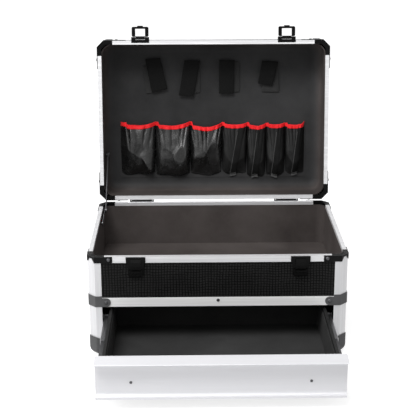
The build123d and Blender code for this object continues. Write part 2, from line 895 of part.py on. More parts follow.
# Hasps: a plate with two ears and a pin on the lid, and a windowed ring that turns on the pin
hasp_axis_along = half_depth + hasp_offset
hasp_axis = lid_point(0, hasp_axis_along, hasp_back)
ear_inner = hasp_neck / 2 + 0.3
with BuildPart() as hasp_plates:
    for centre in (-latch_x, latch_x):
        half = hasp_plate_width / 2
        outer_side = (half_depth, half_depth + hasp_plate_wall)
        lid_block((centre - half, centre + half), outer_side, (-hasp_lip, hasp_plate_reach))
        lip_along = (half_depth - hasp_lip_reach, half_depth + hasp_plate_wall)
        lid_block((centre - half, centre + half), lip_along, (-hasp_lip, 0))
        ear_along = (half_depth + hasp_plate_wall / 2, hasp_axis_along)
        ear_deep = (hasp_back - hasp_barrel, hasp_back + hasp_barrel)
        for start, end in ((-half, -ear_inner), (ear_inner, half)):
            lid_block((centre + start, centre + end), ear_along, ear_deep)
            rod(centre + start, centre + end, hasp_barrel, hasp_axis[1], hasp_axis[2])
        rod(centre - ear_inner, centre + ear_inner, hasp_pin, hasp_axis[1], hasp_axis[2])
finish(hasp_plates.part, "hasp_plates")

for side, hand in ((-1, "left"), (1, "right")):
    centre = side * latch_x
    with BuildPart() as hasp:
        ring_plane = lid_mouth.offset(-hasp_back - hasp_wall / 2)
        with BuildSketch(ring_plane):
            middle = hasp_axis_along + (hasp_start + hasp_length) / 2
            with Locations((centre, middle)):
                RectangleRounded(hasp_width, hasp_length - hasp_start, 3)
            with Locations((centre, hasp_axis_along + hasp_start / 2 + 0.5)):
                Rectangle(hasp_neck, hasp_start + 1)
            with Locations((centre, hasp_axis_along + hasp_length + hasp_tab / 2 - 0.5)):
                Rectangle(hasp_tab_width, hasp_tab + 1)
            window = (hasp_window_low + hasp_window_high) / 2
            with Locations((centre, hasp_axis_along + window)):
                window_height = hasp_window_high - hasp_window_low
                Rectangle(hasp_window_width, window_height, mode=Mode.SUBTRACT)
        extrude(amount=hasp_wall)
        neck_ends = (centre - hasp_neck / 2, centre + hasp_neck / 2)
        rod(neck_ends[0], neck_ends[1], hasp_barrel, hasp_axis[1], hasp_axis[2])
        with BuildSketch(Plane.YZ.offset(neck_ends[0])) as bore:
            with Locations((hasp_axis[1], hasp_axis[2])):
                Circle(hasp_pin + pin_clearance)
        extrude(bore.sketch, amount=hasp_neck, mode=Mode.SUBTRACT)
    finish(hasp.part, f"hasp_{hand}")

# Lid stay on the left wall: lower link on the base, upper link on the lid
stay_outer_x = -half_width + lined_wall + stay_wall_gap
lower_pivot = (half_depth - stay_lower_back, base_height - stay_lower_drop)
upper_spot = lid_point(0, stay_upper_along - half_depth, stay_upper_deep)
upper_pivot = (upper_spot[1], upper_spot[2])


def knee(low, high):
    """Where the two links meet, on the rear side of the line between their pivots."""
    dy = high[0] - low[0]
    dz = high[1] - low[1]
    gap = math.hypot(dy, dz)
    along = (gap**2 + stay_lower_length**2 - stay_upper_length**2) / (2 * gap)
    off = math.sqrt(max(stay_lower_length**2 - along**2, 0))
    return (
        low[0] + (along * dy + off * dz) / gap,
        low[1] + (along * dz - off * dy) / gap,
    )


open_knee = knee(lower_pivot, upper_pivot)


def heading(start, end):
    return math.degrees(math.atan2(end[1] - start[1], end[0] - start[0]))


def link(x, start, end, name):
    """A flat link with round ends and a headed pin at its start."""
    length = math.hypot(end[0] - start[0], end[1] - start[1])
    middle = ((start[0] + end[0]) / 2, (start[1] + end[1]) / 2)
    with BuildPart() as bar:
        with BuildSketch(Plane.YZ.offset(x)):
            with Locations(Location(middle, heading(start, end))):
                SlotCenterToCenter(length, stay_link_width)
        extrude(amount=stay_link_wall)
        rod(x - stay_pin_in, x, stay_pin, start[0], start[1])
    finish(bar.part, name)


link(stay_outer_x, lower_pivot, open_knee, "stay_lower_link")
upper_x = stay_outer_x + stay_link_wall + stay_gap
with BuildPart() as stay_upper_link:
    with BuildSketch(Plane.YZ.offset(upper_x)):
        span = math.hypot(open_knee[0] - upper_pivot[0], open_knee[1] - upper_pivot[1])
        centre_yz = (
            (open_knee[0] + upper_pivot[0]) / 2,
            (open_knee[1] + upper_pivot[1]) / 2,
        )
        with Locations(Location(centre_yz, heading(upper_pivot, open_knee))):
            SlotCenterToCenter(span, stay_link_width)
    extrude(amount=stay_link_wall)
    rod(stay_outer_x - stay_pin_in, upper_x, stay_pin, upper_pivot[0], upper_pivot[1])
    head_x = upper_x + stay_link_wall
    rod(head_x, head_x + stay_head_wall, stay_head, upper_pivot[0], upper_pivot[1])
    rod(head_x, head_x + stay_head_wall, stay_head, open_knee[0], open_knee[1])
finish(stay_upper_link.part, "stay_upper_link")

# Carry handle, hanging plumb behind the open lid
pivot_spot = lid_point(0, handle_drop / 2, lid_height + handle_stand)
handle_plane = Plane(
    origin=(0, pivot_spot[1], pivot_spot[2]), x_dir=(1, 0, 0), z_dir=(0, -1, 0)
)
eye_x = handle_span / 2
with BuildPart() as carry_handle:
    with BuildSketch(handle_plane.offset(-handle_thick / 2)):
        with BuildLine():
            Polyline(
                (-eye_x - handle_eye, 0),
                (-eye_x - handle_eye, -handle_drop),
                (eye_x + handle_eye, -handle_drop),
                (eye_x + handle_eye, 0),
                (eye_x - handle_eye, 0),
                (eye_x - handle_eye, handle_bar - handle_drop),
                (handle_eye - eye_x, handle_bar - handle_drop),
                (handle_eye - eye_x, 0),
                close=True,
            )
        make_face()
        low_corners = [v for v in vertices() if abs(v.Y + handle_drop) < 0.01]
        chamfer(low_corners, length=handle_cut)
        inner_corners = [v for v in vertices() if abs(v.Y - handle_bar + handle_drop) < 0.01]
        chamfer(inner_corners, length=handle_inner_cut)
    extrude(amount=handle_thick)
    grip = [
        e
        for e in carry_handle.edges()
        if handle_plane.to_local_coords(e.center()).Y < -handle_eye - 1
        and abs(abs(handle_plane.to_local_coords(e.center()).Z) - handle_thick / 2) < 0.01
    ]
    chamfer(grip, length=2.4)
    for side in (-1, 1):
        eye = sorted((side * (eye_x - handle_eye), side * (eye_x + handle_eye)))
        rod(eye[0], eye[1], handle_thick / 2, pivot_spot[1], pivot_spot[2])
        with BuildSketch(Plane.YZ.offset(eye[0])) as bore:
            with Locations((pivot_spot[1], pivot_spot[2])):
                Circle(handle_pin + pin_clearance)
        extrude(bore.sketch, amount=2 * handle_eye, mode=Mode.SUBTRACT)
finish(carry_handle.part, "carry_handle")

with BuildPart() as handle_brackets:
    for side in (-1, 1):
        near = side * (eye_x + handle_eye + handle_eye_gap)
        far = side * (eye_x + handle_eye + handle_eye_gap + handle_bracket_width / 2)
        foot_far = side * (eye_x + handle_eye + handle_bracket_width)
        foot_along = (
            handle_drop / 2 - handle_bracket_length / 2,
            handle_drop / 2 + handle_bracket_length / 2,
        )
        foot_deep = (lid_height, lid_height + handle_bracket_wall)
        lid_block(sorted((side * eye_x, foot_far)), foot_along, foot_deep)
        ear_along = (handle_drop / 2 - handle_thick / 2, handle_drop / 2 + handle_thick / 2)
        ear_deep = (lid_height, lid_height + handle_stand)
        lid_block(sorted((near, far)), ear_along, ear_deep)
        rod(min(near, far), max(near, far), handle_thick / 2, pivot_spot[1], pivot_spot[2])
        pin_ends = sorted((near, side * (eye_x - handle_eye - handle_eye_gap)))
        rod(pin_ends[0], pin_ends[1], handle_pin, pivot_spot[1], pivot_spot[2])
finish(handle_brackets.part, "handle_brackets")

# Soft pieces on the lid's inner face
inner_deep = lid_board_low - lining
up_the_lid = lid_mouth.y_dir
soft_deep = inner_deep - pocket_backing


def pouch_form(ends, bulge, mouth, fold, grow, low):
    """A pouch solid gathered at its mouth by three folds, grown by grow over its cloth's outside."""
    left = ends[0] - grow
    width = ends[1] - ends[0] + 2 * grow
    high = pocket_high + 2
    belly = pocket_low + 0.3 * (high - pocket_low)
    full = bulge + grow
    with BuildPart(mode=Mode.PRIVATE) as form:
        side_plane = Plane(
            origin=lid_point(left, 0, soft_deep), x_dir=up_the_lid, z_dir=(1, 0, 0)
        )
        with BuildSketch(side_plane):
            Polygon(
                (low, 0),
                (low, 0.5 * bulge + grow),
                (belly, full),
                (high, mouth + grow),
                (high, 0),
                align=None,
            )
        extrude(amount=width)
        plan_plane = Plane(
            origin=lid_point(left, low, soft_deep), x_dir=(1, 0, 0), z_dir=up_the_lid
        )
        with BuildSketch(plan_plane) as plan:
            Polygon(
                (0, 0),
                (0.05 * width, -0.45 * full),
                (0.14 * width, -0.8 * full),
                (0.28 * width, -full),
                (0.72 * width, -full),
                (0.86 * width, -0.8 * full),
                (0.95 * width, -0.45 * full),
                (width, 0),
                align=None,
            )
        extrude(plan.sketch, amount=high - low, mode=Mode.INTERSECT)
        fall = Vector(*lid_direction(0, belly - high, mouth - fold - bulge))
        for share in (0.3, 0.5, 0.7):
            x = ends[0] + share * (ends[1] - ends[0])
            mouth_plane = Plane(
                origin=lid_point(x, high, soft_deep), x_dir=(1, 0, 0), z_dir=up_the_lid
            )
            with BuildSketch(mouth_plane) as crease:
                outer = -mouth - grow - fold
                Polygon((-2 * fold, outer), (2 * fold, outer), (0, outer + 2 * fold), align=None)
            extrude(crease.sketch, amount=fall.length, dir=fall, mode=Mode.SUBTRACT)
    return form.part


def mouth_band(left, right, sag, low, high):
    """The space between a pouch's sagging mouth line moved by low and the same line moved by high."""
    third = (right - left) / 3.4
    dips = ((left, 0), (left + third, 0.9 * sag), (right - third, 0.9 * sag), (right, 0))
    bottom = [(x, pocket_high + low - dip) for x, dip in dips]
    top = [(x, pocket_high + high - dip) for x, dip in reversed(dips)]
    with BuildPart(mode=Mode.PRIVATE) as space:
        with BuildSketch(lid_mouth.offset(-inner_deep - 1)):
            Polygon(*bottom, *top, align=None)
        extrude(amount=60)
    return space.part


def pouches(widths, start, bulge, mouth, fold, sag, name):
    """A row of pouches sewn side by side, each cut off along its sagging mouth."""
    left = start
    with BuildPart() as row:
        for width in widths:
            ends = (left + pocket_gap / 2, left + width - pocket_gap / 2)
            add(pouch_form(ends, bulge, mouth, fold, 0, pocket_low))
            inner_low = pocket_low + pocket_cloth
            inside = pouch_form(ends, bulge, mouth, fold, -pocket_cloth, inner_low)
            add(inside, mode=Mode.SUBTRACT)
            over = mouth_band(ends[0] - 3, ends[1] + 3, sag, 0, 60)
            add(over, mode=Mode.SUBTRACT)
            left += width
    finish(row.part, name)
    return left


def bindings(widths, start, bulge, mouth, fold, sag, name):
    """The red tape round each pouch's mouth."""
    left = start
    with BuildPart() as tapes:
        for width in widths:
            ends = (left + pocket_gap / 2, left + width - pocket_gap / 2)
            grown = binding_clear + binding_wall
            with BuildPart(mode=Mode.PRIVATE) as tape:
                add(pouch_form(ends, bulge, mouth, fold, grown, pocket_low))
                inside = pouch_form(ends, bulge, mouth, fold, binding_clear, pocket_low)
                add(inside, mode=Mode.SUBTRACT)
                band = mouth_band(
                    ends[0] - binding_over, ends[1] + binding_over, sag, -binding_height, 0
                )
                add(band, mode=Mode.INTERSECT)
            add(tape.part)
            left += width
    finish(tapes.part, name)


with BuildPart() as pocket_back:
    back_x = (pocket_left - 3, pocket_right + 3)
    lid_block(back_x, (pocket_low - 4, pocket_high + 3), (soft_deep, inner_deep))
finish(pocket_back.part, "pocket_back")

large = (large_pocket_bulge, large_pocket_mouth, large_pocket_fold, large_pocket_sag)
small = (small_pocket_bulge, small_pocket_mouth, small_pocket_fold, small_pocket_sag)
small_start = pouches(large_pocket_widths, pocket_left, *large, "large_pockets")
pouches(small_pocket_widths, small_start, *small, "small_pockets")
bindings(large_pocket_widths, pocket_left, *large, "large_pocket_binding")
bindings(small_pocket_widths, small_start, *small, "small_pocket_binding")

with BuildPart() as webbing_loops:
    for x, tilt in loop_places:
        angle = math.radians(tilt)
        along = Vector(*lid_direction(-math.sin(angle), math.cos(angle), 0))
        across = Vector(*lid_direction(math.cos(angle), math.sin(angle), 0))
        thick = loop_space + 2 * loop_wall
        start = Vector(*lid_point(x, loop_y, inner_deep - thick / 2)) - across * (loop_width / 2)
        with BuildSketch(Plane(origin=start, x_dir=along, z_dir=across)):
            Rectangle(loop_length, thick)
            chamfer(vertices(), length=loop_wall)
            Rectangle(loop_length - 2 * loop_wall, loop_space, mode=Mode.SUBTRACT)
        extrude(amount=loop_width)
finish(webbing_loops.part, "webbing_loops")
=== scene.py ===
"""Looks of the aluminium carry case: materials, soft goods, light and camera."""

import math
import random

import bpy
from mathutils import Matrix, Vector, noise


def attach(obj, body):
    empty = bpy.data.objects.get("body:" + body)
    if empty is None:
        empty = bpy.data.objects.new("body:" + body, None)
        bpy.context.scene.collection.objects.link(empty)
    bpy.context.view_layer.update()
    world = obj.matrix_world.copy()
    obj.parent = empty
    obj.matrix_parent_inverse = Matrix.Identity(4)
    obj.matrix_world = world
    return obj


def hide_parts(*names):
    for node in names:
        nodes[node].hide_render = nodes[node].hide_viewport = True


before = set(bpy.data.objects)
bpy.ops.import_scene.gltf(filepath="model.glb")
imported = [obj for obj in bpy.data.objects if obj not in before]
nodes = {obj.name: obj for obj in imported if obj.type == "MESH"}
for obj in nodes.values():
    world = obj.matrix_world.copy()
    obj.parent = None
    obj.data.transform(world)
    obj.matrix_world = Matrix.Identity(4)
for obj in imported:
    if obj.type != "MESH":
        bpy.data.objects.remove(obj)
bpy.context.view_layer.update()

# The lid's hinge axis, in metres, and how far the lid stands open
AXIS_Y, AXIS_Z = 0.1602, 0.1905
LID_OPEN = math.radians(98.0)
LID_TILT = LID_OPEN - math.pi / 2
# The middle of the lid's mouth with the lid shut, from the hinge axis
MOUTH_Y, MOUTH_Z = -AXIS_Y, 0.0005
# On the open lid: away from the hinge edge, and out through the mouth
UP = Vector((0, -math.cos(LID_OPEN), math.sin(LID_OPEN)))
OUT = Vector((0, -math.sin(LID_OPEN), -math.cos(LID_OPEN)))
# In millimetres: the lid's middle from its hinge edge, and the pocket back from the mouth
HALF_DEPTH = 157.5
BACK_FACE = 77.2


def lid_point(u, v, deep):
    """A point on the lid: across, up from the hinge edge, in from the mouth, in millimetres."""
    oy = AXIS_Y + MOUTH_Y * math.cos(LID_OPEN) + MOUTH_Z * math.sin(LID_OPEN)
    oz = AXIS_Z + MOUTH_Z * math.cos(LID_OPEN) - MOUTH_Y * math.sin(LID_OPEN)
    start = Vector((0, oy, oz))
    return start + Vector((u / 1000, 0, 0)) + UP * ((v - HALF_DEPTH) / 1000) - OUT * (deep / 1000)


# Materials
def material(name):
    m = bpy.data.materials.new(name)
    m.use_nodes = True
    nt = m.node_tree
    nt.nodes.clear()
    out = nt.nodes.new("ShaderNodeOutputMaterial")
    bsdf = nt.nodes.new("ShaderNodeBsdfPrincipled")
    nt.links.new(bsdf.outputs[0], out.inputs[0])
    return m, nt, bsdf


def coords(nt, scale=(1, 1, 1), rotation=(0, 0, 0)):
    """Object coordinates in metres, scaled and turned."""
    tc = nt.nodes.new("ShaderNodeTexCoord")
    mp = nt.nodes.new("ShaderNodeMapping")
    mp.inputs["Scale"].default_value = scale
    mp.inputs["Rotation"].default_value = rotation
    nt.links.new(tc.outputs["Object"], mp.inputs[0])
    return mp.outputs[0]


def noise_tex(nt, vec, scale, detail=3.0, rough=0.55):
    t = nt.nodes.new("ShaderNodeTexNoise")
    t.inputs["Scale"].default_value = scale
    t.inputs["Detail"].default_value = detail
    t.inputs["Roughness"].default_value = rough
    nt.links.new(vec, t.inputs["Vector"])
    return t.outputs["Fac"]


def ramp(nt, fac, stops):
    """A colour ramp from its (position, colour) stops."""
    r = nt.nodes.new("ShaderNodeValToRGB")
    els = r.color_ramp.elements
    while len(els) < len(stops):
        els.new(0.5)
    for e, (pos, col) in zip(els, stops):
        e.position = pos
        e.color = (*col, 1)
    nt.links.new(fac, r.inputs[0])
    return r.outputs[0]


def grey(v):
    return (v, v, v)


def bump(nt, height, bsdf, strength, distance):
    b = nt.nodes.new("ShaderNodeBump")
    b.inputs["Strength"].default_value = strength
    b.inputs["Distance"].default_value = distance
    nt.links.new(height, b.inputs["Height"])
    nt.links.new(b.outputs[0], bsdf.inputs["Normal"])


def combine(nt, a, b, kind="ADD"):
    """A math node on two values, each a number or the output of another node."""
    n = nt.nodes.new("ShaderNodeMath")
    n.operation = kind
    for i, x in enumerate((a, b)):
        if isinstance(x, (int, float)):
            n.inputs[i].default_value = x
        else:
            nt.links.new(x, n.inputs[i])
    return n.outputs[0]


def blend(nt, a, b, share):
    """The sum of two outputs, a with the given share and b with the rest."""
    first = combine(nt, a, share, kind="MULTIPLY")
    second = combine(nt, b, round(1 - share, 6), kind="MULTIPLY")
    return combine(nt, first, second)


# Noise frequencies of brushed metal per metre, and how much coarser its broad streaks are
STREAK_ACROSS, STREAK_ALONG, STREAK_BROAD = 900.0, 9.0, 6


def brushed(name, base, rough, along, metallic=0.45, streak=1.0):
    """Brushed metal: fine streaks that run along one axis of the frame."""
    m, nt, bsdf = material(name)
    scale = [STREAK_ACROSS] * 3
    scale["xyz".index(along)] = STREAK_ALONG
    vec = coords(nt, tuple(scale))
    fine = noise_tex(nt, vec, 1.0, detail=2.0)
    broad = noise_tex(nt, coords(nt, tuple(s / STREAK_BROAD for s in scale)), 1.0)
    both = combine(nt, fine, broad, kind="MULTIPLY")
    lo = tuple(c * (1 - 0.10 * streak) for c in base)
    col = ramp(nt, both, [(0.12, lo), (0.42, base)])
    nt.links.new(col, bsdf.inputs["Base Color"])
    rr = ramp(nt, fine, [(0.3, grey(rough * 0.8)), (0.7, grey(rough * 1.25))])
    nt.links.new(rr, bsdf.inputs["Roughness"])
    bsdf.inputs["Metallic"].default_value = metallic
    bump(nt, both, bsdf, strength=0.08, distance=0.0003)
    return m


def grained(name, dark, light, rough, grain, strength, shine=0.15):
    """Moulded or coated surface with a fine grain and a slow colour drift."""
    m, nt, bsdf = material(name)
    vec = coords(nt)
    fine = noise_tex(nt, vec, grain, detail=2.0)
    slow = noise_tex(nt, vec, 18.0, detail=4.0)
    both = blend(nt, fine, slow, 0.35)
    col = ramp(nt, both, [(0.3, dark), (0.7, light)])
    nt.links.new(col, bsdf.inputs["Base Color"])
    rr = ramp(nt, slow, [(0.3, grey(rough * 0.88)), (0.7, grey(min(1, rough * 1.12)))])
    nt.links.new(rr, bsdf.inputs["Roughness"])
    bsdf.inputs["Specular IOR Level"].default_value = shine
    bump(nt, fine, bsdf, strength, distance=0.0004)
    return m


# Size of the laminate's embossed cells along each axis, and how far their rows waver, in metres
CELLS = (("X", 0.0051), ("Y", 0.0051), ("Z", 0.0048))
WAVER = (0.0034, 0.0034, 0.0060)


def laminate(name, tilt=0.0):
    """Black embossed laminate: wavy rows of small pillowed cells, with painted shade darkening the
    grooves between.

    tilt turns the rows to run square on the open lid.
    """
    m, nt, bsdf = material(name)
    vec = coords(nt, (1, 1, 1), (tilt, 0, 0))
    warp = nt.nodes.new("ShaderNodeTexNoise")
    warp.inputs["Scale"].default_value = 42.0
    nt.links.new(vec, warp.inputs["Vector"])
    wavy = nt.nodes.new("ShaderNodeVectorMath")
    wavy.operation = "MULTIPLY_ADD"
    nt.links.new(warp.outputs["Color"], wavy.inputs[0])
    wavy.inputs[1].default_value = WAVER
    nt.links.new(vec, wavy.inputs[2])
    place = nt.nodes.new("ShaderNodeSeparateXYZ")
    nt.links.new(wavy.outputs[0], place.inputs[0])
    faces = nt.nodes.new("ShaderNodeMapping")
    faces.inputs["Rotation"].default_value = (tilt, 0, 0)
    nt.links.new(nt.nodes.new("ShaderNodeTexCoord").outputs["Normal"], faces.inputs[0])
    normal = nt.nodes.new("ShaderNodeSeparateXYZ")
    nt.links.new(faces.outputs[0], normal.inputs[0])
    groove = None
    for axis, cell in CELLS:
        wave = combine(nt, place.outputs[axis], 1 / cell, kind="MULTIPLY")
        zigzag = combine(nt, wave, 0.5, kind="PINGPONG")
        near = ramp(nt, zigzag, [(0.04, grey(1)), (0.24, grey(0))])
        # Faces square to an axis show no grooves of that axis
        across = combine(nt, normal.outputs[axis], normal.outputs[axis], kind="MULTIPLY")
        line = combine(nt, near, combine(nt, 1.0, across, kind="SUBTRACT"), kind="MULTIPLY")
        groove = line if groove is None else combine(nt, groove, line, kind="MAXIMUM")
    slow = noise_tex(nt, vec, 22.0)
    drift = combine(nt, combine(nt, slow, 0.5, kind="SUBTRACT"), 0.9, kind="MULTIPLY")
    # Painted shade: the grooves are darkened in the colour, over a slow random drift in tone
    tone = combine(nt, groove, drift)
    col = ramp(nt, tone, [(0.0, grey(0.019)), (0.7, grey(0.0006))])
    nt.links.new(col, bsdf.inputs["Base Color"])
    bsdf.inputs["Specular IOR Level"].default_value = 0.08
    rr = ramp(nt, slow, [(0.3, grey(0.34)), (0.7, grey(0.46))])
    nt.links.new(rr, bsdf.inputs["Roughness"])
    pillow = combine(nt, 1.0, groove, kind="SUBTRACT")
    bump(nt, pillow, bsdf, strength=0.8, distance=0.0008)
    return m


# Depths in the lid, in metres, over which the lining's walls turn into its back
BACK_FROM, BACK_FULL = 0.066, 0.0775


def lining_material(name, lid=False):
    """Smooth grained lining: warm dark grey walls, and a cooler felt-like back in the lid."""
    m, nt, bsdf = material(name)
    vec = coords(nt)
    fine = noise_tex(nt, vec, 2200.0, detail=2.0)
    slow = noise_tex(nt, vec, 9.0, detail=5.0, rough=0.6)
    both = blend(nt, fine, slow, 0.3)
    walls = ramp(nt, both, [(0.32, (0.044, 0.037, 0.035)), (0.68, (0.096, 0.084, 0.080))])
    if lid:
        back = ramp(nt, both, [(0.32, (0.016, 0.016, 0.0165)), (0.68, (0.046, 0.046, 0.047))])
        dot = nt.nodes.new("ShaderNodeVectorMath")
        dot.operation = "DOT_PRODUCT"
        nt.links.new(vec, dot.inputs[0])
        dot.inputs[1].default_value = tuple(-OUT)
        start = lid_point(0, HALF_DEPTH, 0).dot(-OUT)
        deep = combine(nt, dot.outputs["Value"], start, kind="SUBTRACT")
        mask = nt.nodes.new("ShaderNodeMapRange")
        mask.inputs["From Min"].default_value = BACK_FROM
        mask.inputs["From Max"].default_value = BACK_FULL
        nt.links.new(deep, mask.inputs[0])
        mix = nt.nodes.new("ShaderNodeMix")
        mix.data_type = "RGBA"
        nt.links.new(mask.outputs[0], mix.inputs["Factor"])
        nt.links.new(walls, mix.inputs["A"])
        nt.links.new(back, mix.inputs["B"])
        walls = mix.outputs["Result"]
    nt.links.new(walls, bsdf.inputs["Base Color"])
    rr = ramp(nt, slow, [(0.3, grey(0.5)), (0.7, grey(0.64))])
    nt.links.new(rr, bsdf.inputs["Roughness"])
    bsdf.inputs["Specular IOR Level"].default_value = 0.12
    bump(nt, both, bsdf, strength=0.25, distance=0.0005)
    return m


# Length of one wave of a wave texture of scale 1, in metres, and the threads it covers
WAVE_LENGTH, THREADS_PER_WAVE = 0.314, 2
# Painted shade in the folds: the share of the colour and shine kept from the valleys of the creases
# up to their crests
CREASE_SHADE = ((0.44, 0.1), (0.495, 0.45), (0.505, 0.62), (0.56, 1.0))


def cloth(
    name, dark, light, rough, thread, sheen=0.0, strength=0.35, shine=0.15, creased=False
):
    """Plain-woven cloth: crossed threads, with a slow drift in colour, and painted shade in the
    valleys of its folds when creased.
    """
    m, nt, bsdf = material(name)
    vec = coords(nt, (1, 1, 1), (LID_TILT, 0, 0))
    waves = []
    for axis in ("X", "Z"):
        w = nt.nodes.new("ShaderNodeTexWave")
        w.bands_direction = axis
        w.inputs["Scale"].default_value = WAVE_LENGTH / thread / THREADS_PER_WAVE
        w.inputs["Distortion"].default_value = 0.4
        w.inputs["Detail"].default_value = 1.0
        nt.links.new(vec, w.inputs["Vector"])
        waves.append(w.outputs["Fac"])
    weave = combine(nt, waves[0], waves[1], kind="MULTIPLY")
    slow = noise_tex(nt, vec, 40.0, detail=4.0)
    both = blend(nt, weave, slow, 0.4)
    col = ramp(nt, both, [(0.2, dark), (0.6, light)])
    bsdf.inputs["Specular IOR Level"].default_value = shine
    if creased:
        # Painted shade: the valleys of the folds, found by the mesh's pointiness, are darkened in
        # colour and in shine, and their crests keep their full colour and shine
        fold_pointiness = nt.nodes.new("ShaderNodeNewGeometry").outputs["Pointiness"]
        gain = ramp(nt, fold_pointiness, [(at, grey(share)) for at, share in CREASE_SHADE])
        gloss = combine(nt, gain, shine, kind="MULTIPLY")
        nt.links.new(gloss, bsdf.inputs["Specular IOR Level"])
        scale = nt.nodes.new("ShaderNodeVectorMath")
        scale.operation = "MULTIPLY"
        nt.links.new(col, scale.inputs[0])
        nt.links.new(gain, scale.inputs[1])
        col = scale.outputs[0]
    nt.links.new(col, bsdf.inputs["Base Color"])
    rr = ramp(nt, slow, [(0.3, grey(rough * 0.85)), (0.7, grey(min(1, rough * 1.15)))])
    nt.links.new(rr, bsdf.inputs["Roughness"])
    if sheen:
        bsdf.inputs["Sheen Weight"].default_value = sheen
        bsdf.inputs["Sheen Roughness"].default_value = 0.4
    bump(nt, weave, bsdf, strength, distance=0.0003)
    return m


alu_x = brushed("alu_x", (0.84, 0.84, 0.855), 0.42, "x", streak=2.2)
alu_z = brushed("alu_z", (0.71, 0.71, 0.725), 0.42, "z", streak=1.6)
# Painted light: the mid rails' aluminium is white and non-metallic, so they stay as bright as the
# other rails instead of reflecting the dark drawer below
alu_strip_painted_light = brushed("alu_strip_painted_light", (1.0, 1.0, 1.0), 0.45, "x", metallic=0.0, streak=1.6)
alu_front = brushed("alu_front", (0.76, 0.76, 0.785), 0.5, "x", metallic=0.25, streak=0.4)
rivet_steel = brushed("rivet", (0.09, 0.09, 0.095), 0.36, "x", metallic=0.8)
zinc = brushed("zinc", (0.34, 0.34, 0.35), 0.3, "y", metallic=0.9)
dark_steel = brushed("dark_steel", (0.10, 0.10, 0.105), 0.35, "y", metallic=0.8)

board_skin = laminate("laminate")
lid_skin = laminate("lid_laminate", LID_TILT)
inside = lining_material("lining")
lid_inside = lining_material("lid_lining", lid=True)

dark_board = grained("board", grey(0.010), grey(0.020), 0.62, grain=1500, strength=0.25)
drawer_felt = grained(
    "drawer_lining", grey(0.027), grey(0.047), 0.8, grain=1800, strength=0.4, shine=0.1
)
black_cap = grained(
    "corner_black", grey(0.002), grey(0.006), 0.24, grain=900, strength=0.12, shine=0.08
)
grey_cap = grained(
    "corner_grey", grey(0.075), (0.115, 0.115, 0.12), 0.52, grain=1400, strength=0.5
)
# Painted shade: the hinge leaves are near-black, so the hinge notches in the rear rim show as dark
# slots of shade
hinge_painted_shade = grained(
    "hinge_painted_shade", grey(0.001), grey(0.003), 0.5, grain=700, strength=0.1, shine=0.12
)
black_metal = grained(
    "black_metal", grey(0.001), grey(0.003), 0.24, grain=700, strength=0.1, shine=0.09
)
plastic = grained("plastic", grey(0.008), grey(0.016), 0.42, grain=900, strength=0.2, shine=0.3)

# The pouches' nylon and mesh carry painted shade in the valleys of their folds
nylon = cloth("nylon", grey(0.008), grey(0.022), 0.27, thread=0.0006, shine=0.9, creased=True)
mesh_cloth = cloth(
    "mesh_cloth", grey(0.004), grey(0.013), 0.4, thread=0.0011, strength=0.9, shine=0.42,
    creased=True,
)
elastic = cloth(
    "elastic", grey(0.003), grey(0.008), 0.6, thread=0.0012, strength=0.5, shine=0.12
)
webbing = cloth(
    "webbing", grey(0.003), grey(0.009), 0.7, thread=0.0012, strength=0.7, shine=0.08
)
# Light grey cloth for the tabs at the bands' feet, and for the painted highlights along the bands'
# left edges
tab_cloth_and_highlight = cloth(
    "tab_cloth_and_highlight", grey(0.045), grey(0.085), 0.7, thread=0.0012, sheen=0.1, strength=0.5
)
loop_back = cloth(
    "loop_back", grey(0.016), grey(0.034), 0.7, thread=0.0012, sheen=0.1, strength=0.5
)
red = cloth("red_tape", (0.72, 0.012, 0.016), (0.95, 0.024, 0.03), 0.55, thread=0.0009, sheen=0.1)


def dress(mat, *names):
    """Give every material slot of the named nodes one material."""
    for n in names:
        for s in nodes[n].material_slots:
            s.material = mat


dress(alu_x, "base_rim_rails", "lid_rim_rails", "bottom_rails", "lid_edge_rails")
dress(alu_z, "corner_posts", "lid_corner_posts")
dress(alu_strip_painted_light, "mid_rails")
dress(alu_front, "drawer_front")
dress(board_skin, "front_panel", "rear_panel", "left_panel", "right_panel", "bottom_panel")
dress(lid_skin, "lid_top_panel", "lid_end_panels", "lid_side_panels")
dress(inside, "compartment_lining")
dress(lid_inside, "lid_lining", "pocket_back")
dress(dark_board, "compartment_floor", "drawer_ends", "drawer_bottom", "runner_battens")
dress(dark_board, "drawer_side_left", "drawer_side_right")
dress(drawer_felt, "drawer_lining")
dress(black_cap, "base_rim_corners", "lid_rim_corners")
dress(grey_cap, "mid_corners", "bottom_corners", "lid_top_corners")
dress(rivet_steel, "base_rivets", "lid_rivets", "mid_rail_plug", "drawer_screws")
dress(
    black_metal, "latch_housing_left", "latch_housing_right", "latch_catch_left",
    "latch_catch_right", "hasp_left", "hasp_right", "hasp_plates",
)
dress(zinc, "slide_outer_left", "slide_outer_right", "slide_middle_left", "slide_middle_right")
dress(dark_steel, "slide_inner_left", "slide_inner_right", "stay_lower_link", "stay_upper_link")
dress(hinge_painted_shade, "hinge_base_leaves", "hinge_lid_leaves")
dress(plastic, "feet", "carry_handle", "handle_brackets")

# Soft goods: thickness of the pouches, the elastic bands and the straps, in metres
POUCH_WALL, BAND_WALL, STRAP_WALL = 0.0005, 0.0012, 0.0013
EDGE_BEVEL = 0.0003


def mesh_object(name, verts, faces, mat):
    me = bpy.data.meshes.new(name)
    me.from_pydata([tuple(v) for v in verts], [], faces)
    me.update()
    ob = bpy.data.objects.new(name, me)
    bpy.context.scene.collection.objects.link(ob)
    ob.data.materials.append(mat)
    for p in me.polygons:
        p.use_smooth = True
    return ob


def grid_faces(rows, columns, turned=False):
    """The quads of a grid of vertices given row by row; turned winds them the other way round."""
    faces = []
    for j in range(rows):
        for i in range(columns):
            a = j * (columns + 1) + i
            b = a + columns + 1
            faces.append((a, b, b + 1, a + 1) if turned else (a, a + 1, b + 1, b))
    return faces


